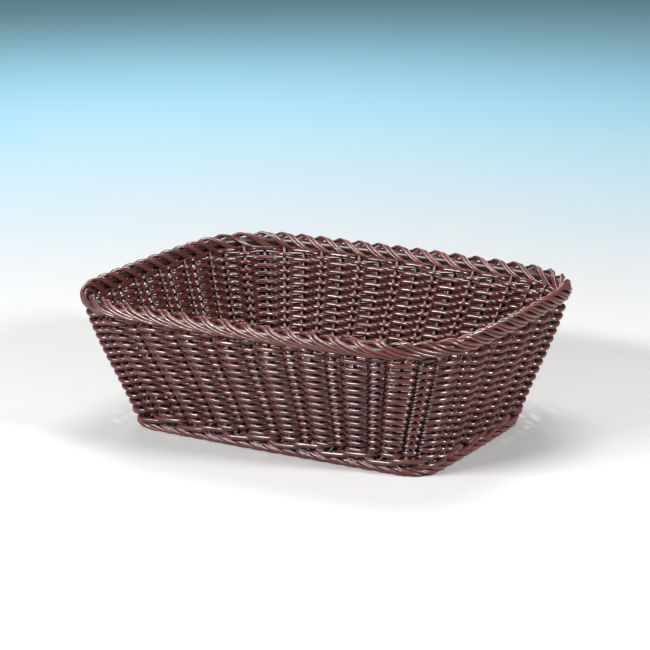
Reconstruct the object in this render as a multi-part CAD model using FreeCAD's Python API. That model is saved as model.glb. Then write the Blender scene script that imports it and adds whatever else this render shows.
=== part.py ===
import FreeCAD, Part
import math
import os
from FreeCAD import Vector

# ----------------------------------------------------------------------------
# A hand-woven bread basket of round plastic strands, in millimetres.
# +Z is up, +X runs along the basket's length, and the origin is on the floor
# under its middle. It has no lid, no handles and nothing that moves.
#
# Upright stakes stand in a foot border and end in a rim border. Rows of
# weavers go round them, in front of one stake and behind the next, and every
# row passes the stakes on the other side from the row below. The base is
# woven the same way on straight sticks that are held in the foot border.
# ----------------------------------------------------------------------------

# Driving dimensions ---------------------------------------------------------

HEIGHT = 110.0               # floor to the top of the rim border

RIM_HALF_LENGTH = 157.5      # centre to the middle of a short side, at the stakes
RIM_HALF_WIDTH = 127.7       # centre to the middle of a long side
RIM_CORNER_RADIUS = 57.0
RIM_END_BULGE = 2.5          # how far the middle of a short side stands out
RIM_SIDE_BULGE = 3.7         # how far the middle of a long side stands out

FOOT_HALF_LENGTH = 123.3     # the same five, at the foot
FOOT_HALF_WIDTH = 79.0
FOOT_CORNER_RADIUS = 20.0
FOOT_END_BULGE = 0.8
FOOT_SIDE_BULGE = 1.2

STAKE_COUNT = 60             # upright strands round the basket
STAKE_DIAMETER = 2.8
WEAVER_DIAMETER = 2.8        # strands that go round them
WEAVE_CLEARANCE = 0.06       # air between two strands that pass each other
PASSING_SHARE = 0.2          # of the way to the next stake or stick, run straight past one

ROW_COUNT = 30               # rows of weaving between the two borders
ROW_PITCH = 2.9
LOWEST_ROW_Z = 10.7

RIM_BORDER_THICKNESS = 10.0
RIM_BORDER_HEIGHT = 13.0
FOOT_BORDER_THICKNESS = 8.4
FOOT_BORDER_HEIGHT = 8.6
FOOT_LOW_RADIUS = 1.6        # roundings of the foot border, beside its flat underside
FOOT_HIGH_RADIUS = 4.0       # and beside its top
RIM_LOW_RADIUS = 4.0
RIM_HIGH_RADIUS = 4.8
STAKE_SOCKET_DEPTH = 4.0     # how deep a stake is held in each border
STICK_SOCKET_DEPTH = 2.5     # how deep a base stick is held in the foot border

BASE_Z = 5.2                 # middle of the woven base above the floor
BASE_STICK_DIAMETER = 3.6
BASE_STICK_COUNT = 9
BASE_STRAND_DIAMETER = 2.8
BASE_STRAND_PITCH = 2.9
BASE_EDGE_GAP = 0.3          # air between the woven base and the foot border

# Worked out from them -------------------------------------------------------

FOOT_MIDDLE_Z = FOOT_BORDER_HEIGHT / 2
RIM_MIDDLE_Z = HEIGHT - RIM_BORDER_HEIGHT / 2
WEAVER_OFFSET = (STAKE_DIAMETER + WEAVER_DIAMETER) / 2 + WEAVE_CLEARANCE
BASE_OFFSET = (BASE_STICK_DIAMETER + BASE_STRAND_DIAMETER) / 2 + WEAVE_CLEARANCE
BASE_STICK_PITCH = 2 * FOOT_HALF_WIDTH / (BASE_STICK_COUNT + 1)
BASE_STRAND_COUNT = int((2 * FOOT_HALF_LENGTH - FOOT_BORDER_THICKNESS) / BASE_STRAND_PITCH) - 1

UP = Vector(0, 0, 1)


def between(low, high, share):
    return low + (high - low) * share


# The outline: a rounded rectangle whose four sides bulge a little ------------

def bulge_radius(half_side, bulge):
    """Radius of the arc that stands out by bulge over a side."""
    return (half_side ** 2 + bulge ** 2) / (2 * bulge)


def circle_crossing(centre_a, radius_a, centre_b, radius_b):
    """Where two circles cross, on the far side from the basket's middle."""
    apart = centre_b - centre_a
    distance = apart.Length
    along = (distance ** 2 + radius_a ** 2 - radius_b ** 2) / (2 * distance)
    aside = math.sqrt(radius_a ** 2 - along ** 2)
    direction = apart * (1 / distance)
    square = Vector(direction.y, -direction.x, 0)
    first = centre_a + direction * along + square * aside
    second = centre_a + direction * along - square * aside
    return max(first, second, key=lambda point: point.x + point.y)


def outline_arcs(share):
    """The outline's eight arcs, counter-clockwise from the +X side, as
    (centre, radius, first angle, last angle). A share of 0 is the foot
    border's outline and 1 is the rim border's."""
    half_length = between(FOOT_HALF_LENGTH, RIM_HALF_LENGTH, share)
    half_width = between(FOOT_HALF_WIDTH, RIM_HALF_WIDTH, share)
    corner_radius = between(FOOT_CORNER_RADIUS, RIM_CORNER_RADIUS, share)
    end_bulge = between(FOOT_END_BULGE, RIM_END_BULGE, share)
    side_bulge = between(FOOT_SIDE_BULGE, RIM_SIDE_BULGE, share)

    end_radius = bulge_radius(half_width - corner_radius, end_bulge)
    side_radius = bulge_radius(half_length - corner_radius, side_bulge)
    end_centre = Vector(half_length - end_radius, 0, 0)
    side_centre = Vector(0, half_width - side_radius, 0)
    corner = circle_crossing(end_centre, end_radius - corner_radius,
                             side_centre, side_radius - corner_radius)
    low = math.atan2(corner.y - end_centre.y, corner.x - end_centre.x)
    high = math.atan2(corner.y - side_centre.y, corner.x - side_centre.x)
    half_turn = math.pi
    whole_turn = 2 * math.pi
    return [
        (end_centre, end_radius, -low, low),
        (corner, corner_radius, low, high),
        (side_centre, side_radius, high, half_turn - high),
        (Vector(-corner.x, corner.y, 0), corner_radius, half_turn - high, half_turn - low),
        (-end_centre, end_radius, half_turn - low, half_turn + low),
        (-corner, corner_radius, half_turn + low, half_turn + high),
        (-side_centre, side_radius, half_turn + high, whole_turn - high),
        (Vector(corner.x, -corner.y, 0), corner_radius, whole_turn - high, whole_turn - low),
    ]


def on_arc(arc, angle, inset=0.0):
    centre, radius, _, _ = arc
    return centre + Vector(math.cos(angle), math.sin(angle), 0) * (radius - inset)


def outline_wire(share, z, inset=0.0):
    """The outline as a closed wire of arcs at height z, moved in by inset.
    It starts in the middle of the +X side, where it runs along +Y."""
    arcs = outline_arcs(share)
    centre, radius, first, last = arcs[0]
    halved = [(centre, radius, 0, last)] + arcs[1:] + [(centre, radius, first, 0)]
    edges = []
    for arc in halved:
        angles = (arc[2], (arc[2] + arc[3]) / 2, arc[3])
        points = [on_arc(arc, angle, inset) + UP * z for angle in angles]
        edges.append(Part.Arc(*points).toShape())
    return Part.Wire(edges)


def even_points(share, count):
    """Points that divide the outline into equal lengths, with their arc's number."""
    arcs = outline_arcs(share)
    lengths = [radius * (last - first) for _, radius, first, last in arcs]
    step = sum(lengths) / count
    points = []
    for number in range(count):
        # The first point is half a step on from the middle of the +X side
        distance = (number + 0.5) * step + lengths[0] / 2
        index = 0
        while distance > lengths[index]:
            distance -= lengths[index]
            index = (index + 1) % len(arcs)
        angle = arcs[index][2] + distance / arcs[index][1]
        points.append((on_arc(arcs[index], angle), index))
    return points


FOOT_POINTS = even_points(0.0, STAKE_COUNT)
RIM_POINTS = even_points(1.0, STAKE_COUNT)


def stake_point(number, z):
    """The middle of a stake at height z. Stakes are straight."""
    share = (z - FOOT_MIDDLE_Z) / (RIM_MIDDLE_Z - FOOT_MIDDLE_Z)
    low = FOOT_POINTS[number % STAKE_COUNT][0]
    high = RIM_POINTS[number % STAKE_COUNT][0]
    return low + (high - low) * share + UP * z


# Strands as round tubes with mitred bends -------------------------------------

def level_outward(number, z):
    """Outward from the basket, square to the line of the stakes."""
    tangent = stake_point(number + 1, z) - stake_point(number - 1, z)
    tangent.normalize()
    return Vector(tangent.y, -tangent.x, 0)


def tube(points, diameter):
    """A round solid strand that runs straight from point to point."""
    section = Part.Wire([Part.makeCircle(diameter / 2, points[0], points[1] - points[0])])
    sharp_bends = 1
    return Part.makePolygon(points).makePipeShell([section], True, False, sharp_bends)


# Pieces ---------------------------------------------------------------------

def weaver(row):
    """One row of weaving: a closed strand that passes the stakes by turns
    outside and inside, the other way round from the row below."""
    z = LOWEST_ROW_Z + row * ROW_PITCH
    corners = []
    for number in range(STAKE_COUNT):
        middle = stake_point(number, z)
        outward = level_outward(number, z)
        lean = stake_point(number, z + 1) - middle
        # A leaning stake's level section is longer than its diameter
        stretch = math.hypot(1, lean.dot(outward))
        side = 1 if (number + row) % 2 else -1
        passing = middle + outward * (side * WEAVER_OFFSET * stretch)
        before = stake_point(number - 1, z) - middle
        after = stake_point(number + 1, z) - middle
        along = Vector(-outward.y, outward.x, 0)
        corners.append(passing - along * (before.Length * PASSING_SHARE))
        corners.append(passing + along * (after.Length * PASSING_SHARE))
    # The tube starts and ends half way along a straight run, clear of bends
    seam = (corners[0] + corners[-1]) * 0.5
    return tube([seam] + corners + [seam], WEAVER_DIAMETER)


def stake(number):
    """A straight upright strand, held in both borders."""
    low = stake_point(number, FOOT_BORDER_HEIGHT - STAKE_SOCKET_DEPTH)
    high = stake_point(number, HEIGHT - RIM_BORDER_HEIGHT + STAKE_SOCKET_DEPTH)
    return Part.makeCylinder(STAKE_DIAMETER / 2, (high - low).Length, low, high - low)


def border_section(thickness, height, low_radius, high_radius, middle):
    """Section of a border across the X axis: a rectangle with its two lower
    and its two upper corners rounded, with middle at half its height."""
    half = thickness / 2
    low = -height / 2
    high = height / 2
    slant = math.sqrt(0.5)

    def place(outward, up):
        return middle + UP * up + Vector(outward, 0, 0)

    def rounded(side, z, radius, upward):
        """Corner arc of the section, from the flank to the top or underside."""
        out = side * (half - radius)
        up = z - upward * radius
        return [place(out + side * radius, up),
                place(out + side * radius * slant, up + upward * radius * slant),
                place(out, up + upward * radius)]

    low_right = rounded(1, low, low_radius, -1)
    high_right = rounded(1, high, high_radius, 1)
    low_left = rounded(-1, low, low_radius, -1)
    high_left = rounded(-1, high, high_radius, 1)
    edges = [
        Part.LineSegment(low_left[2], low_right[2]).toShape(),
        Part.Arc(low_right[2], low_right[1], low_right[0]).toShape(),
        Part.LineSegment(low_right[0], high_right[0]).toShape(),
        Part.Arc(high_right[0], high_right[1], high_right[2]).toShape(),
        Part.LineSegment(high_right[2], high_left[2]).toShape(),
        Part.Arc(high_left[2], high_left[1], high_left[0]).toShape(),
        Part.LineSegment(high_left[0], low_left[0]).toShape(),
        Part.Arc(low_left[0], low_left[1], low_left[2]).toShape(),
    ]
    return Part.Wire(edges)


def border(share, z, thickness, height, low_radius, high_radius, held):
    """A border as one ring that follows the outline, with a socket for each
    of the pieces that it holds."""
    path = outline_wire(share, z)
    middle = path.OrderedVertexes[0].Point
    section = border_section(thickness, height, low_radius, high_radius, middle)
    ring = path.makePipeShell([section], True, False).removeSplitter()
    return ring.cut(Part.makeCompound(held))


def foot_room(inset):
    """The space inside the foot border's outline, moved in by inset."""
    return Part.Face(outline_wire(0.0, 0.0, inset)).extrude(UP * 2 * BASE_Z + UP)


def base_stick(number, room):
    """A straight stick of the base, along X, as long as the room."""
    y = (number - (BASE_STICK_COUNT - 1) / 2) * BASE_STICK_PITCH
    end = Vector(-FOOT_HALF_LENGTH, y, BASE_Z)
    along = Vector(1, 0, 0)
    return Part.makeCylinder(BASE_STICK_DIAMETER / 2, 2 * FOOT_HALF_LENGTH, end, along).common(room)


def base_strand(number, room):
    """A strand of the base, along Y, that passes over one stick and under
    the next, as long as the room."""
    x = (number - (BASE_STRAND_COUNT - 1) / 2) * BASE_STRAND_PITCH
    reach = BASE_STICK_PITCH * PASSING_SHARE
    points = []
    for crossing in range(BASE_STICK_COUNT + 2):
        y = (crossing - (BASE_STICK_COUNT + 1) / 2) * BASE_STICK_PITCH
        side = 1 if (crossing + number) % 2 else -1
        z = BASE_Z + side * BASE_OFFSET
        points.append(Vector(x, y - reach, z))
        points.append(Vector(x, y + reach, z))
    return tube(points, BASE_STRAND_DIAMETER).common(room)


# Assembly: each node's own solids --------------------------------------------

WALLS = ["right_end", "back_right_corner", "back_side", "back_left_corner",
         "left_end", "front_left_corner", "front_side", "front_right_corner"]

stakes = [stake(number) for number in range(STAKE_COUNT)]
stick_room = foot_room(FOOT_BORDER_THICKNESS / 2 - STICK_SOCKET_DEPTH)
strand_room = foot_room(FOOT_BORDER_THICKNESS / 2 + BASE_EDGE_GAP)
sticks = [base_stick(number, stick_room) for number in range(BASE_STICK_COUNT)]

nodes = {
    "foot_border": [border(0.0, FOOT_MIDDLE_Z, FOOT_BORDER_THICKNESS, FOOT_BORDER_HEIGHT,
                           FOOT_LOW_RADIUS, FOOT_HIGH_RADIUS, stakes + sticks)],
    "rim_border": [border(1.0, RIM_MIDDLE_Z, RIM_BORDER_THICKNESS, RIM_BORDER_HEIGHT,
                          RIM_LOW_RADIUS, RIM_HIGH_RADIUS, stakes)],
    "base_sticks": sticks,
    "base_strands": [base_strand(number, strand_room) for number in range(BASE_STRAND_COUNT)],
}
for index, wall in enumerate(WALLS):
    nodes[wall + "_stakes"] = [stakes[number] for number in range(STAKE_COUNT)
                               if RIM_POINTS[number][1] == index]
for row in range(ROW_COUNT):
    nodes["weaver_row_%02d" % (row + 1)] = [weaver(row)]

os.makedirs("parts", exist_ok=True)
for name, solids in nodes.items():
    Part.makeCompound(solids).exportStep("parts/" + name + ".step")
    volume = sum(solid.Volume for solid in solids)
    print("%-28s %3d solids %9.0f mm3" % (name, len(solids), volume))
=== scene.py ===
import bpy
import math
import numpy as np
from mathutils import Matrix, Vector


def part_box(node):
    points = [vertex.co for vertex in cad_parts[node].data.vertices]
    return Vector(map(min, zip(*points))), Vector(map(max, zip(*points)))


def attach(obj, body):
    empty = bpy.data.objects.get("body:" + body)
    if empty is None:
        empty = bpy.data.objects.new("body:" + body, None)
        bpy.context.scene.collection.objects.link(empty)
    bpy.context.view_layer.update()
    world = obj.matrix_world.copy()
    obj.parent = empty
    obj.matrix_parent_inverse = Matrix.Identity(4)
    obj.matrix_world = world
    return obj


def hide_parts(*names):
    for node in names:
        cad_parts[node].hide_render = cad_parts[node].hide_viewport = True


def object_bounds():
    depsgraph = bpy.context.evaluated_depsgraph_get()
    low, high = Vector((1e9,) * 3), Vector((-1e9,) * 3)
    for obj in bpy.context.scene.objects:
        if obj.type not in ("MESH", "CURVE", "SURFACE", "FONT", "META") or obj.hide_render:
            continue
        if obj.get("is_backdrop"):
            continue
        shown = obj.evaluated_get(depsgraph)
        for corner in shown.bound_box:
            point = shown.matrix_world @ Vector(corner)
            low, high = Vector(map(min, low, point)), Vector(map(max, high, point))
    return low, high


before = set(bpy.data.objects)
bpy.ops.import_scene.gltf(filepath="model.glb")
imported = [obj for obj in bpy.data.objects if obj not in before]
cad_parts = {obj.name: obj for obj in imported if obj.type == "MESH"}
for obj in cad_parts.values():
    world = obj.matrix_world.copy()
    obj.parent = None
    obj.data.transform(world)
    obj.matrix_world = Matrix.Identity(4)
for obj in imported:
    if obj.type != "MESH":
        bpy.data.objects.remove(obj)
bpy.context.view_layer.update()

# The basket's shape, in metres. +Z is up and +X runs along its length. -------

STAKE_COUNT = 60
ROW_COUNT = 30

RIM_THICKNESS = 0.0100
RIM_CORNER_RADIUS = 0.0570
RIM_END_BULGE = 0.0025
RIM_SIDE_BULGE = 0.0037
FOOT_THICKNESS = 0.0084
FOOT_CORNER_RADIUS = 0.0200
FOOT_END_BULGE = 0.0008
FOOT_SIDE_BULGE = 0.0012

WEAVER_HALF_THICKNESS = 0.00150
WEAVER_HALF_HEIGHT = 0.00182  # where a weaver passes a stake
WEAVER_PRESSED_HEIGHT = 0.00162   # half its height between stakes, where the rows cross
STAKE_RADIUS = 0.0014
RIM_STRAND_RADIUS = 0.00125
RIM_CORE_RADIUS = 0.0030
RIM_CORE_DROP = 0.0010        # how far the core lies below the rim's middle
FOOT_STRAND_RADIUS = 0.00098
FOOT_CORE_RADIUS = 0.0019
STICK_RADIUS = 0.0018
BASE_STRAND_RADIUS = 0.0014

WEAVE_DEPTH = 0.0032          # how far a weaver stands off the stakes' middle
OUTER_DROP = 0.12             # how far it drops outside the stakes, for each step outward
INNER_RISE = 0.46             # and rises inside them, for each step inward
STAKE_STAGGER = 0.0010        # how far every other stake stands out
LONG_FLOAT = 1.5              # above 1, weavers pass the outer stakes in longer floats
WALL_EASE = 0.020             # the walls tuck in at the foot and flare at the rim
ROW_WANDER = 0.0007           # how far a row strays up and down
WALL_WANDER = 0.0008          # how far the wall strays in and out

rim_low, rim_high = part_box("rim_border")
foot_low, foot_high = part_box("foot_border")
RIM_MIDDLE_Z = (rim_low.z + rim_high.z) / 2
FOOT_MIDDLE_Z = (foot_low.z + foot_high.z) / 2
RIM_HALF_LENGTH = rim_high.x - RIM_THICKNESS / 2
RIM_HALF_WIDTH = rim_high.y - RIM_THICKNESS / 2
FOOT_HALF_LENGTH = foot_high.x - FOOT_THICKNESS / 2
FOOT_HALF_WIDTH = foot_high.y - FOOT_THICKNESS / 2

TWO_PI = 2 * math.pi
STAKE_STEP = 0.05             # small steps for finding directions on the wall, in stakes
HEIGHT_STEP = 0.002           # and in metres


def unit(vectors):
    """The same directions at length 1. Each row is a vector."""
    return vectors / np.linalg.norm(vectors, axis=1)[:, None]


# The outline: a rounded rectangle whose four sides bulge a little ------------

def bulge_radius(half_side, bulge):
    """The radius of an arc over a side that stands out by bulge at its middle."""
    return (half_side ** 2 + bulge ** 2) / (2 * bulge)


def outline_arcs(half_length, half_width, corner_radius, end_bulge, side_bulge):
    """Eight arcs, counter-clockwise from the +X side: centre x, centre y,
    radius, first angle, last angle."""
    end_radius = bulge_radius(half_width - corner_radius, end_bulge)
    side_radius = bulge_radius(half_length - corner_radius, side_bulge)
    end_x = half_length - end_radius
    side_y = half_width - side_radius
    # The corner's centre is where two circles cross, one about each side's centre
    reach_end = end_radius - corner_radius
    reach_side = side_radius - corner_radius
    apart = math.hypot(end_x, side_y)
    along = (apart ** 2 + reach_end ** 2 - reach_side ** 2) / (2 * apart)
    aside = math.sqrt(reach_end ** 2 - along ** 2)
    toward_x, toward_y = -end_x / apart, side_y / apart
    corner_x = end_x + toward_x * along - toward_y * aside
    corner_y = toward_y * along + toward_x * aside
    if corner_x + corner_y < 0:
        corner_x = end_x + toward_x * along + toward_y * aside
        corner_y = toward_y * along - toward_x * aside
    low = math.atan2(corner_y, corner_x - end_x)
    high = math.atan2(corner_y - side_y, corner_x)
    pi = math.pi
    return [
        (end_x, 0, end_radius, -low, low),
        (corner_x, corner_y, corner_radius, low, high),
        (0, side_y, side_radius, high, pi - high),
        (-corner_x, corner_y, corner_radius, pi - high, pi - low),
        (-end_x, 0, end_radius, pi - low, pi + low),
        (-corner_x, -corner_y, corner_radius, pi + low, pi + high),
        (0, -side_y, side_radius, pi + high, TWO_PI - high),
        (corner_x, -corner_y, corner_radius, TWO_PI - high, TWO_PI - low),
    ]


def outline_point(arcs, stake):
    """Points on an outline at stake numbers, which may be fractions."""
    lengths = np.array([radius * (last - first) for _, _, radius, first, last in arcs])
    ends = np.cumsum(lengths)
    starts = ends - lengths
    step = ends[-1] / STAKE_COUNT
    distance = np.mod((stake + 0.5) * step + lengths[0] / 2, ends[-1])
    index = np.searchsorted(ends, distance, side="right") % len(arcs)
    table = np.array(arcs)[index]
    angle = table[:, 3] + (distance - starts[index]) / table[:, 2]
    x = table[:, 0] + table[:, 2] * np.cos(angle)
    y = table[:, 1] + table[:, 2] * np.sin(angle)
    return np.stack([x, y], axis=1)


RIM_ARCS = outline_arcs(RIM_HALF_LENGTH, RIM_HALF_WIDTH, RIM_CORNER_RADIUS,
                        RIM_END_BULGE, RIM_SIDE_BULGE)
FOOT_ARCS = outline_arcs(FOOT_HALF_LENGTH, FOOT_HALF_WIDTH, FOOT_CORNER_RADIUS,
                         FOOT_END_BULGE, FOOT_SIDE_BULGE)


# Hand-made unevenness: smooth waves that are whole round the basket ----------

WAVE_LEAN = 2.3               # how far the waves shift round the basket as they climb
WAVE_LEAN_SPREAD = 1.7        # how differently neighbouring waves do so


def waves(seed, counts):
    """Random whole-number waves round the basket, as (count, phase, size)."""
    source = np.random.default_rng(seed)
    return [(count, source.uniform(0, TWO_PI), source.uniform(0.5, 1.0)) for count in counts]


def sway(stake, height, made):
    """Between about -1 and 1 at every stake number and height share."""
    total = 0
    for number, (count, phase, size) in enumerate(made):
        lean = WAVE_LEAN * math.sin(WAVE_LEAN_SPREAD * number + phase) * height
        total = total + size * np.sin(TWO_PI * count * stake / STAKE_COUNT + phase + lean)
    return total / math.sqrt(len(made))


ROW_WAVES = waves(11, [2, 3, 5, 8, 13, 19])
WALL_WAVES = waves(23, [1, 2, 4, 7, 11])


def height_share(z):
    """0 at the foot border's middle and 1 at the rim's."""
    return (z - FOOT_MIDDLE_Z) / (RIM_MIDDLE_Z - FOOT_MIDDLE_Z)


def wall_point(stake, z, outward=0.0):
    """Points of the wall's middle surface, moved out by outward, as an array
    of x, y, z. stake, z and outward may be numbers or arrays."""
    stake = np.atleast_1d(np.asarray(stake, float))
    z = np.broadcast_to(np.asarray(z, float), stake.shape)
    share = height_share(z)
    eased = share - WALL_EASE * np.sin(TWO_PI * share)

    def surface(at):
        foot = outline_point(FOOT_ARCS, at)
        rim = outline_point(RIM_ARCS, at)
        return foot + (rim - foot) * eased[:, None]

    ahead = unit(surface(stake + STAKE_STEP) - surface(stake - STAKE_STEP))
    normal = np.stack([ahead[:, 1], -ahead[:, 0]], axis=1)
    fade = np.sin(math.pi * np.clip(share, 0, 1))
    out = outward + WALL_WANDER * sway(stake, share, WALL_WAVES) * fade
    flat = surface(stake) + normal * np.broadcast_to(out, stake.shape)[:, None]
    return np.column_stack([flat, z])


def wall_normal(stake, z):
    """Square to the wall, outward, where the rows of weaving run."""
    along = wall_point(stake + STAKE_STEP, z) - wall_point(stake - STAKE_STEP, z)
    slope = wall_point(stake, z + HEIGHT_STEP) - wall_point(stake, z - HEIGHT_STEP)
    return unit(np.cross(along, slope))


def outward_at(stake):
    """The wall's level outward direction, as an array of x, y, z."""
    stake = np.atleast_1d(np.asarray(stake, float))
    ahead = unit(outline_point(RIM_ARCS, stake + STAKE_STEP) - outline_point(RIM_ARCS, stake - STAKE_STEP))
    return np.column_stack([ahead[:, 1], -ahead[:, 0], np.zeros(len(stake))])


# Tubes ----------------------------------------------------------------------

TONE_SHIFT = 7.0              # metres between the textures of the lightest and darkest strands


def tube_arrays(points, toward, radius, closed, sides):
    """Vertices, quads and strand coordinates of a tube. toward is a direction
    at each point that fixes how the tube is turned. radius is a number, or
    an oval's two half sizes, toward and across, for each point."""
    count = len(points)
    if closed:
        tangent = np.roll(points, -1, axis=0) - np.roll(points, 1, axis=0)
    else:
        tangent = np.gradient(points, axis=0)
    tangent = unit(tangent)
    side = unit(toward - tangent * np.sum(tangent * toward, axis=1)[:, None])
    other = np.cross(tangent, side)
    angle = np.arange(sides) * TWO_PI / sides
    half = np.broadcast_to(np.asarray(radius, float), (count, 2))
    vertices = (points[:, None, :]
                + half[:, 0, None, None] * np.cos(angle)[None, :, None] * side[:, None, :]
                + half[:, 1, None, None] * np.sin(angle)[None, :, None] * other[:, None, :])
    rings = count if closed else count - 1
    first = np.arange(rings)[:, None] * sides
    second = ((np.arange(rings) + 1) % count)[:, None] * sides
    here = np.arange(sides)[None, :]
    there = (np.arange(sides)[None, :] + 1) % sides
    corners = [first + here, first + there, second + there, second + here]
    quads = np.stack(corners, axis=2).reshape(-1, 4)
    steps = np.linalg.norm(np.diff(points, axis=0, append=points[:1]), axis=1)
    along = np.concatenate([[0], np.cumsum(steps)])
    around = np.arange(sides + 1) / sides
    low, high = along[:rings, None], along[1:rings + 1, None]
    left = np.broadcast_to(around[None, :-1], (rings, sides))
    right = np.broadcast_to(around[None, 1:], (rings, sides))
    low = np.broadcast_to(low, (rings, sides))
    high = np.broadcast_to(high, (rings, sides))
    marks = np.stack([np.stack([left, low], 2), np.stack([right, low], 2),
                      np.stack([right, high], 2), np.stack([left, high], 2)], axis=2).reshape(-1, 2)
    return vertices.reshape(-1, 3), quads, marks


def cap_faces(start, count, sides):
    """The two end faces of an open tube whose vertices begin at start."""
    last = start + (count - 1) * sides
    low = [start + side for side in reversed(range(sides))]
    high = [last + side for side in range(sides)]
    return [low, high]


def strands_object(name, strands, material, node=None, sides=12):
    """One object of several strands. Each strand is (points, toward, radius,
    closed, tone)."""
    vertices, quads, marks, tones, caps = [], [], [], [], []
    total = 0
    for points, toward, radius, closed, tone in strands:
        made, faces, mark = tube_arrays(points, toward, radius, closed, sides)
        vertices.append(made)
        quads.append(faces + total)
        marks.append(mark + np.array([0, tone * TONE_SHIFT]))
        tones.append(np.full(len(made), tone))
        if not closed:
            caps += cap_faces(total, len(points), sides)
        total += len(made)
    vertices = np.concatenate(vertices)
    quads = np.concatenate(quads)
    marks = np.concatenate(marks)
    mesh = bpy.data.meshes.new(name)
    mesh.from_pydata(vertices.tolist(), [], quads.tolist() + caps)
    coordinates = mesh.uv_layers.new(name="strand")
    filled = np.zeros((len(mesh.loops), 2))
    filled[:len(marks)] = marks
    coordinates.data.foreach_set("uv", filled.ravel().astype(np.float32))
    tone_layer = mesh.attributes.new("tone", "FLOAT", "POINT")
    tone_layer.data.foreach_set("value", np.concatenate(tones).astype(np.float32))
    mesh.polygons.foreach_set("use_smooth", np.ones(len(mesh.polygons), bool))
    mesh.materials.append(material)
    mesh.update()
    made = bpy.data.objects.new(name, mesh)
    bpy.context.scene.collection.objects.link(made)
    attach(made, "root")
    if node:
        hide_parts(node)
    return made


# Material: glossy extruded plastic strand, with fine lengthwise drawing lines --

# Noises on a strand: how fine across, how fine along (a metre), and detail
STREAK_NOISE = (3.0, 60.0, 3.0)
PATCH_NOISE = (0.4, 22.0, 2.0)
DRAWN_LINE_NOISE = (7.0, 12.0, 2.0)

# How much streaks, patches and each strand's own tone change its colour
STREAK_SHARE = 0.45
PATCH_SHARE = 0.35
TONE_SHARE = 0.25

DARK_AT = 0.25
DARK_SHARE = 0.55             # the darkest colour, as a share of the strand's own
LIGHT_AT = 0.78
LIGHT_SHARES = (1.5, 1.55, 1.5)

ROUGHNESS_SPREAD = 0.16
BUMP_STRENGTH = 0.35
BUMP_DEPTH = 0.00012
PLASTIC_IOR = 1.46


def strand_material(name, colour, gloss):
    """Plastic strand. gloss is its lowest roughness."""
    material = bpy.data.materials.new(name)
    material.use_nodes = True
    nodes = material.node_tree.nodes
    links = material.node_tree.links
    shader = nodes["Principled BSDF"]

    def node(kind, **values):
        made = nodes.new(kind)
        for key, value in values.items():
            setattr(made, key, value)
        return made

    def math_node(operation, first, second=None):
        made = node("ShaderNodeMath", operation=operation)
        for socket, value in zip(made.inputs, (first, second)):
            if value is None:
                continue
            if isinstance(value, (int, float)):
                socket.default_value = value
            else:
                links.new(value, socket)
        return made.outputs[0]

    place = node("ShaderNodeUVMap", uv_map="strand")
    split = node("ShaderNodeSeparateXYZ")
    links.new(place.outputs["UV"], split.inputs[0])
    turn = math_node("MULTIPLY", split.outputs["X"], TWO_PI)
    round_x = math_node("COSINE", turn)
    round_y = math_node("SINE", turn)

    def strand_noise(across, along, detail):
        """Noise that is seamless round the strand and stretched along it."""
        spot = node("ShaderNodeCombineXYZ")
        links.new(math_node("MULTIPLY", round_x, across), spot.inputs[0])
        links.new(math_node("MULTIPLY", round_y, across), spot.inputs[1])
        links.new(math_node("MULTIPLY", split.outputs["Y"], along), spot.inputs[2])
        noise = node("ShaderNodeTexNoise")
        noise.inputs["Scale"].default_value = 1.0
        noise.inputs["Detail"].default_value = detail
        links.new(spot.outputs[0], noise.inputs["Vector"])
        return noise.outputs["Fac"]

    streaks = strand_noise(*STREAK_NOISE)
    patches = strand_noise(*PATCH_NOISE)
    drawing = strand_noise(*DRAWN_LINE_NOISE)

    ramp = node("ShaderNodeValToRGB")
    ramp.color_ramp.elements[0].position = DARK_AT
    ramp.color_ramp.elements[0].color = (*[part * DARK_SHARE for part in colour], 1)
    ramp.color_ramp.elements[1].position = LIGHT_AT
    light = [part * share for part, share in zip(colour, LIGHT_SHARES)]
    ramp.color_ramp.elements[1].color = (*light, 1)
    tone = node("ShaderNodeAttribute", attribute_name="tone")
    streak_part = math_node("MULTIPLY", streaks, STREAK_SHARE)
    patch_part = math_node("MULTIPLY", patches, PATCH_SHARE)
    tone_part = math_node("MULTIPLY", tone.outputs["Fac"], TONE_SHARE)
    blend = math_node("ADD", streak_part, patch_part)
    links.new(math_node("ADD", blend, tone_part), ramp.inputs["Fac"])
    links.new(ramp.outputs["Color"], shader.inputs["Base Color"])

    rough = math_node("ADD", math_node("MULTIPLY", streaks, ROUGHNESS_SPREAD), gloss)
    links.new(rough, shader.inputs["Roughness"])
    bump = node("ShaderNodeBump")
    bump.inputs["Strength"].default_value = BUMP_STRENGTH
    bump.inputs["Distance"].default_value = BUMP_DEPTH
    links.new(drawing, bump.inputs["Height"])
    links.new(bump.outputs["Normal"], shader.inputs["Normal"])
    shader.inputs["IOR"].default_value = PLASTIC_IOR
    return material


weaver_material = strand_material("woven_strand", (0.036, 0.0088, 0.008), 0.18)
# Stakes, the borders' cores and the base sticks are the same plastic, given a darker copy of its colour:
# painted shade for these recessed parts.
stake_material_painted_shade = strand_material("stake_strand", (0.015, 0.004, 0.0037), 0.34)
# The rim's and foot's wrapped strands are the same plastic, given a lighter copy of its colour: painted
# light on both borders.
border_material_painted_light = strand_material("border_strand_painted_light", (0.05, 0.0134, 0.012), 0.17)
# The base strands are the same plastic, given a darker copy of its colour: painted shade on the basket's
# floor.
base_material_painted_shade = strand_material("base_strand", (0.023, 0.006, 0.0055), 0.28)


# The wall: rows of weaving ----------------------------------------------------

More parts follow.
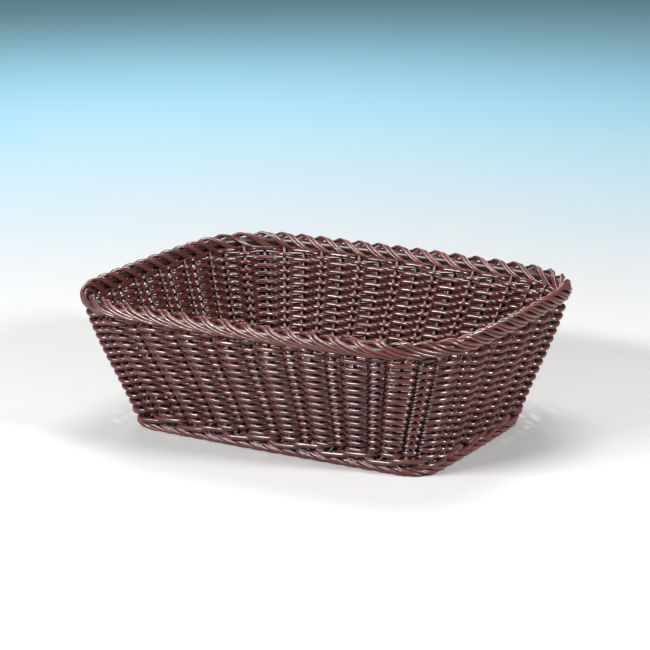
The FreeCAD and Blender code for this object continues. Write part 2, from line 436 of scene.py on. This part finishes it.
SAMPLES_PER_STAKE = 16        # points of a weaver from one stake to the next
STAGGER_GROWTH = 4            # the stakes' stagger is full from a quarter of the height
STAGGER_LEAST = 0.2           # and this share of it at the foot
ROW_LEAN = 9                  # turns a height in metres into about its share of the wall's
WALED_ROWS = 2                # the lowest rows pass outside two stakes, inside one
WALE_REPEAT = 3               # stakes
WALE_FLOAT = 2.2              # what LONG_FLOAT is to the other rows
WALE_RISE = 0.0008
WALE_SINK = 0.0013            # the lowest row lies this much closer to the foot
RAISED_ROWS = 2               # the highest rows, which are lifted towards the rim
TOP_ROW_RISE = 0.0010         # closes the gap under the rim, and cuts into the rim's strands


def stagger(stake, z):
    """Every other stake stands out a little, the ones between them in."""
    grown = np.clip(height_share(z) * STAGGER_GROWTH, STAGGER_LEAST, 1.0)
    return STAKE_STAGGER * grown * np.cos(math.pi * np.asarray(stake, float))


def row_lift(stake, z):
    """How far a row strays up or down. Neighbouring rows stray together."""
    share = (z - rim_low.z) / (foot_high.z - rim_low.z)
    # 1 halfway up and 0 at both borders
    ease = np.clip(1 - share, 0, 1) * np.clip(share, 0, 1) * 4
    return ROW_WANDER * sway(stake, z * ROW_LEAN, ROW_WAVES) * ease


def plain_wave(stake, row):
    """1 outside a stake and -1 inside it. The floats run nearly straight past
    the stakes, and are longer past the outer stakes than past the inner ones."""
    from_outer = np.abs(np.mod(stake + 1, 2) - 1)
    swing = np.cos(math.pi * from_outer ** LONG_FLOAT)
    return np.sin(math.pi / 2 * swing) * (1 if row % 2 == 0 else -1)


def waled_wave(stake, row):
    """The same for a row that goes outside two stakes and inside one, and
    how far it rises on the way."""
    half = WALE_REPEAT / 2
    phase = np.mod(stake + 0.5 + half * row, WALE_REPEAT)
    from_middle = np.abs(phase - 1)
    from_middle = np.where(phase > 1 + half, WALE_REPEAT + 1 - phase, from_middle)
    wave = np.cos(math.pi * np.clip(from_middle / half, 0, 1) ** WALE_FLOAT)
    rise = np.where(phase < 2, phase - 1, np.cos(math.pi * (phase - 2)))
    return wave, rise * WALE_RISE


def weaver_path(row, z):
    """A row's points, the direction its oval is turned to, and its half sizes."""
    stake = np.arange(STAKE_COUNT * SAMPLES_PER_STAKE) / SAMPLES_PER_STAKE
    normal = wall_normal(stake, z)
    stretch = 1 / np.hypot(normal[:, 0], normal[:, 1])
    if row < WALED_ROWS:
        wave, rise = waled_wave(stake, row)
        rise = rise - WALE_SINK * (WALED_ROWS - row) / WALED_ROWS
    else:
        wave = plain_wave(stake, row)
        rise = TOP_ROW_RISE * max(0.0, (row - ROW_COUNT + 1 + RAISED_ROWS) / RAISED_ROWS)
    outward = WEAVE_DEPTH * stretch * wave
    points = wall_point(stake, z, stagger(stake, z) + outward)
    points[:, 2] += row_lift(stake, z) + rise
    points[:, 2] -= np.where(outward > 0, OUTER_DROP, INNER_RISE) * outward
    high = WEAVER_PRESSED_HEIGHT + (WEAVER_HALF_HEIGHT - WEAVER_PRESSED_HEIGHT) * np.abs(wave)
    return points, normal, np.column_stack([np.full(len(stake), WEAVER_HALF_THICKNESS), high])


tone_source = np.random.default_rng(5)
for row in range(ROW_COUNT):
    node_name = "weaver_row_%02d" % (row + 1)
    low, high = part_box(node_name)
    points, toward, size = weaver_path(row, (low.z + high.z) / 2)
    strand = (points, toward, size, True, tone_source.random())
    strands_object("weaver_strand_%02d" % (row + 1), [strand], weaver_material, node_name)


# Stakes ----------------------------------------------------------------------

STAKE_SAMPLES = 40
BOX_MARGIN = 0.004            # how far a stake may stand outside its CAD node's box


def stake_strand(number):
    z = np.linspace(FOOT_MIDDLE_Z, RIM_MIDDLE_Z, STAKE_SAMPLES)
    points = wall_point(np.full(len(z), float(number)), z, stagger(number, z))
    toward = np.repeat(outward_at(number), len(z), axis=0)
    return points, toward, STAKE_RADIUS, False, tone_source.random()


def stakes_by_node():
    """The numbers of the stakes that each CAD node of stakes holds."""
    found = {}
    for number in range(STAKE_COUNT):
        x, y, _ = wall_point(float(number), RIM_MIDDLE_Z)[0]
        for node_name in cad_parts:
            if not node_name.endswith("_stakes"):
                continue
            low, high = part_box(node_name)
            within_x = low.x - BOX_MARGIN <= x <= high.x + BOX_MARGIN
            within_y = low.y - BOX_MARGIN <= y <= high.y + BOX_MARGIN
            if within_x and within_y:
                found.setdefault(node_name, []).append(number)
                break
    return found


for node_name, numbers in stakes_by_node().items():
    strands_object(node_name + "_strands", [stake_strand(number) for number in numbers],
                   stake_material_painted_shade, node_name, sides=10)


# Borders ----------------------------------------------------------------------

SAMPLES_PER_KNOT = 7
CORE_SAMPLES_PER_STAKE = 4
# A fixed low tone that darkens the cores further: painted shade in the borders' gaps.
CORE_PAINTED_SHADE_TONE = 0.1
WRAP_STRAY = 0.05             # how far a wrapped strand strays along the border, in stakes


def smooth_curve(values, fine):
    """A Catmull-Rom curve through the values, read at places that may be fractions."""
    padded = np.concatenate([[2 * values[0] - values[1]], values, [2 * values[-1] - values[-2]]])
    index = np.clip(np.floor(fine).astype(int), 0, len(values) - 2)
    part = fine - index
    before, start, end, after = (padded[index + shift] for shift in range(4))
    return 0.5 * (2 * start + (end - before) * part
                  + (2 * before - 5 * start + 4 * end - after) * part ** 2
                  + (3 * start - before - 3 * end + after) * part ** 3)


def wrap_strand(stake, middle_z, half_thickness, half_height, route, radius, tone):
    """A strand that wraps round a border. route lists (stakes along, outward,
    up), in half thicknesses and half heights, followed as one smooth curve."""
    knots = np.array(route, float)
    fine = np.linspace(0, len(knots) - 1, SAMPLES_PER_KNOT * len(knots))
    along, outward, up = [smooth_curve(knots[:, column], fine) for column in range(3)]
    points = wall_point(stake + along, middle_z)
    out = outward_at(stake + along)
    points += out * (outward * half_thickness)[:, None]
    points[:, 2] += up * half_height
    # The small part keeps the direction from having no length
    toward = out * (outward + 0.001)[:, None]
    toward[:, 2] += up
    return points, toward, radius, False, tone


def core_strand(middle_z, radius):
    """The plain ring that a border's strands are wrapped round."""
    stake = np.arange(STAKE_COUNT * CORE_SAMPLES_PER_STAKE) / CORE_SAMPLES_PER_STAKE
    points = wall_point(stake, middle_z)
    return points, outward_at(stake), radius, True, CORE_PAINTED_SHADE_TONE


RIM_HALF_HEIGHT = (rim_high.z - rim_low.z) / 2 - RIM_STRAND_RADIUS
FOOT_HALF_HEIGHT = (foot_high.z - foot_low.z) / 2 - FOOT_STRAND_RADIUS

# Each stake's end and a strand laid in beside it, over the rim and down outside
RIM_UPPER_ROUTE = [
    (-2.0, 0.30, -0.85), (-1.65, -0.35, -1.10), (-1.2, -0.78, -0.92), (-0.85, -0.86, -0.40),
    (-0.50, -0.66, 0.28), (-0.16, -0.20, 0.82), (0.14, 0.34, 0.90), (0.42, 0.74, 0.48),
    (0.80, 0.84, 0.02), (1.25, 0.76, -0.40), (1.75, 0.46, -0.80), (2.20, 0.00, -0.95),
]
RIM_LOWER_ROUTE = [
    (-2.2, 0.25, -0.80), (-1.85, -0.38, -1.05), (-1.4, -0.76, -0.95), (-1.08, -0.84, -0.45),
    (-0.74, -0.66, 0.18), (-0.42, -0.24, 0.68), (-0.12, 0.26, 0.76), (0.16, 0.68, 0.36),
    (0.54, 0.78, -0.22), (1.00, 0.66, -0.72), (1.50, 0.34, -1.02), (1.95, -0.10, -1.00),
]
FOOT_UPPER_ROUTE = [
    (-1.3, 0.10, -0.80), (-0.95, -0.60, -0.55), (-0.5, -0.76, 0.15), (-0.08, -0.30, 0.95),
    (0.22, 0.42, 0.90), (0.52, 0.76, 0.46), (0.90, 0.82, 0.04), (1.30, 0.74, -0.38),
    (1.70, 0.36, -0.86), (2.1, -0.2, -0.9),
]

# The foot's second strand runs behind the first, a little closer in and lower
FOOT_LAG = 0.2
FOOT_CLOSER = 0.94
FOOT_FLATTER = 0.86
FOOT_LOWER = 0.14
FOOT_LOWER_ROUTE = [
    (along - FOOT_LAG, outward * FOOT_CLOSER, up * FOOT_FLATTER - FOOT_LOWER)
    for along, outward, up in FOOT_UPPER_ROUTE
]


def wraps(routes, middle_z, half_thickness, half_height, radius):
    """A border's wrapped strands, one for each stake and route."""
    made = []
    for number in range(STAKE_COUNT):
        for route in routes:
            start = number + tone_source.uniform(-WRAP_STRAY, WRAP_STRAY)
            made.append(wrap_strand(start, middle_z, half_thickness, half_height, route, radius,
                                    tone_source.random()))
    return made


strands_object("rim_wraps", wraps([RIM_UPPER_ROUTE, RIM_LOWER_ROUTE], RIM_MIDDLE_Z, RIM_THICKNESS / 2,
                                  RIM_HALF_HEIGHT, RIM_STRAND_RADIUS),
               border_material_painted_light, "rim_border", sides=9)
strands_object("rim_core", [core_strand(RIM_MIDDLE_Z - RIM_CORE_DROP, RIM_CORE_RADIUS)],
               stake_material_painted_shade, "rim_border")
strands_object("foot_wraps", wraps([FOOT_UPPER_ROUTE, FOOT_LOWER_ROUTE], FOOT_MIDDLE_Z, FOOT_THICKNESS / 2,
                                   FOOT_HALF_HEIGHT, FOOT_STRAND_RADIUS),
               border_material_painted_light, "foot_border", sides=9)
strands_object("foot_core", [core_strand(FOOT_MIDDLE_Z, FOOT_CORE_RADIUS)],
               stake_material_painted_shade, "foot_border")


# Base -------------------------------------------------------------------------

stick_low, stick_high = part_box("base_sticks")
BASE_Z = (stick_low.z + stick_high.z) / 2
STICK_MIDDLE_X = (stick_low.x + stick_high.x) / 2
STICK_COUNT = 9
STICK_PITCH = (stick_high.y - stick_low.y - 2 * STICK_RADIUS) / (STICK_COUNT - 1)
strand_low, strand_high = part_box("base_strands")
BASE_PASSES = 81
PASS_PITCH = (strand_high.x - strand_low.x - 2 * BASE_STRAND_RADIUS) / (BASE_PASSES - 1)
BASE_EDGE_GAP = 0.0032        # between the foot border and the ends of the runs, where they turn
OUTLINE_STEP = 0.02           # in stakes
PASS_SAMPLES = 120
TURN_SAMPLES = 9
STICK_SAMPLES = 30


def room_half_width(x):
    """Half the width between the foot border's inner flanks at a length x."""
    ring = outline_point(FOOT_ARCS, np.arange(0, STAKE_COUNT, OUTLINE_STEP))
    half = ring[ring[:, 1] > 0]
    order = np.argsort(half[:, 0])
    return float(np.interp(x, half[order, 0], half[order, 1])) - FOOT_THICKNESS / 2


def base_pass(number):
    """One run across the base, over and under the sticks."""
    x = STICK_MIDDLE_X + (number - (BASE_PASSES - 1) / 2) * PASS_PITCH
    reach = room_half_width(x) - BASE_EDGE_GAP
    y = np.linspace(-reach, reach, PASS_SAMPLES)
    wave = np.cos(math.pi * (y / STICK_PITCH + number + (STICK_COUNT + 1) / 2))
    level = BASE_Z + (STICK_RADIUS + BASE_STRAND_RADIUS) * wave
    line = np.column_stack([np.full(len(y), x), y, level])
    return line if number % 2 else line[::-1]


def base_turn(start, end):
    """The bend at the edge from the end of one run to the start of the next."""
    side = math.copysign(1, start[1])
    turn = np.linspace(0, math.pi, TURN_SAMPLES)[1:-1]
    middle = (start + end) / 2
    return np.column_stack([middle[0] - np.cos(turn) * PASS_PITCH / 2,
                            start[1] + (end[1] - start[1]) * turn / math.pi
                            + side * np.sin(turn) * PASS_PITCH / 2,
                            start[2] + (end[2] - start[2]) * turn / math.pi])


def base_weave_path():
    """One strand that crosses the base back and forth."""
    runs = [base_pass(number) for number in range(BASE_PASSES)]
    joined = [runs[0]]
    for last, run in zip(runs, runs[1:]):
        joined += [base_turn(last[-1], run[0]), run]
    return np.concatenate(joined)


def upward(points):
    return np.tile([0.0, 0.0, 1.0], (len(points), 1))


weave = base_weave_path()
strands_object("base_weave", [(weave, upward(weave), BASE_STRAND_RADIUS, False, 0.5)],
               base_material_painted_shade, "base_strands", sides=8)

sticks = []
for number in range(STICK_COUNT):
    y = (number - (STICK_COUNT - 1) / 2) * STICK_PITCH
    x = np.linspace(stick_low.x, stick_high.x, STICK_SAMPLES)
    line = np.column_stack([x, np.full(len(x), y), np.full(len(x), BASE_Z)])
    sticks.append((line, upward(line), STICK_RADIUS, False, tone_source.random()))
strands_object("base_stick_strands", sticks, stake_material_painted_shade, "base_sticks")


# Stage, lights and camera --------------------------------------------------------

FLOOR_HALF_SIZE = 8.0
FLOOR_NEAR = (0.29, 0.29, 0.29, 1)    # the lights turn this grey white
FLOOR_FAR = (0.25, 0.50, 0.62, 1)
FLOOR_FADE_START = 0.30
FLOOR_FADE_END = 1.8
FLOOR_ROUGHNESS = 0.7
WORLD_COLOUR = (0.86, 0.92, 0.97, 1)
WORLD_STRENGTH = 0.09


def floor_material():
    """White under the basket, turning pale blue far from it on every side."""
    material = bpy.data.materials.new("floor")
    material.use_nodes = True
    nodes = material.node_tree.nodes
    links = material.node_tree.links
    shader = nodes["Principled BSDF"]
    shader.inputs["Roughness"].default_value = FLOOR_ROUGHNESS
    place = nodes.new("ShaderNodeTexCoord")
    reach = nodes.new("ShaderNodeVectorMath")
    reach.operation = "LENGTH"
    share = nodes.new("ShaderNodeMapRange")
    share.inputs["From Min"].default_value = FLOOR_FADE_START
    share.inputs["From Max"].default_value = FLOOR_FADE_END
    ramp = nodes.new("ShaderNodeValToRGB")
    ramp.color_ramp.interpolation = "EASE"
    ramp.color_ramp.elements[0].color = FLOOR_NEAR
    ramp.color_ramp.elements[1].color = FLOOR_FAR
    links.new(place.outputs["Object"], reach.inputs[0])
    links.new(reach.outputs["Value"], share.inputs["Value"])
    links.new(share.outputs["Result"], ramp.inputs["Fac"])
    links.new(ramp.outputs["Color"], shader.inputs["Base Color"])
    return material


floor_mesh = bpy.data.meshes.new("floor")
floor_corners = [(-1, -1), (1, -1), (1, 1), (-1, 1)]
floor_mesh.from_pydata([(x * FLOOR_HALF_SIZE, y * FLOOR_HALF_SIZE, 0) for x, y in floor_corners],
                       [], [(0, 1, 2, 3)])
floor_mesh.materials.append(floor_material())
floor = bpy.data.objects.new("floor", floor_mesh)
bpy.context.scene.collection.objects.link(floor)
floor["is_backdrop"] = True

world = bpy.data.worlds.new("studio")
world.use_nodes = True
world.node_tree.nodes["Background"].inputs["Color"].default_value = WORLD_COLOUR
world.node_tree.nodes["Background"].inputs["Strength"].default_value = WORLD_STRENGTH
bpy.context.scene.world = world


def direction(azimuth, elevation):
    """From the object's middle towards a place seen from it. Azimuth 0 is -Y."""
    a, e = math.radians(azimuth), math.radians(elevation)
    return np.array([math.sin(a) * math.cos(e), -math.cos(a) * math.cos(e), math.sin(e)])


def aim(thing, place, target):
    thing.location = Vector(place)
    thing.rotation_mode = "QUATERNION"
    thing.rotation_quaternion = Vector(target - place).to_track_quat("-Z", "Y")


LIGHT_TARGET = np.array([0, 0, 0.05])


def area_light(name, azimuth, elevation, distance, size, power, colour):
    light = bpy.data.lights.new(name, "AREA")
    light.shape = "RECTANGLE"
    light.size, light.size_y = size
    light.energy = power
    light.color = colour
    made = bpy.data.objects.new(name, light)
    bpy.context.scene.collection.objects.link(made)
    aim(made, direction(azimuth, elevation) * distance, LIGHT_TARGET)


# Name, azimuth, elevation, distance, width and height, power in watts, colour
LIGHTS = [
    ("key", 84, 30, 1.6, (0.26, 0.26), 56, (1.0, 0.98, 0.96)),
    ("front", -24, 32, 1.8, (1.0, 0.12), 100, (1.0, 0.98, 0.97)),
    ("top", 200, 76, 1.8, (0.8, 0.8), 30, (1.0, 1.0, 1.0)),
    ("back", 222, 34, 2.0, (0.8, 0.5), 11, (1.0, 1.0, 1.0)),
]
for light in LIGHTS:
    area_light(*light)

# The colours and lights above are set for Blender's Standard view
bpy.context.scene.view_settings.view_transform = "Standard"

CAMERA_AZIMUTH = 30.0
CAMERA_ELEVATION = 15.2
CAMERA_DISTANCE = 1.736
CAMERA_LENS = 130.15
CAMERA_SENSOR_WIDTH = 36.0
CAMERA_TARGET_RIGHT = -0.0018
CAMERA_TARGET_Z = 0.0764

camera_data = bpy.data.cameras.new("camera")
camera_data.lens = CAMERA_LENS
camera_data.sensor_width = CAMERA_SENSOR_WIDTH
camera = bpy.data.objects.new("camera", camera_data)
bpy.context.scene.collection.objects.link(camera)
azimuth = math.radians(CAMERA_AZIMUTH)
target = np.array([math.cos(azimuth), math.sin(azimuth), 0]) * CAMERA_TARGET_RIGHT
target[2] = CAMERA_TARGET_Z
aim(camera, target + direction(CAMERA_AZIMUTH, CAMERA_ELEVATION) * CAMERA_DISTANCE, target)
bpy.context.scene.camera = camera

low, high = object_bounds()
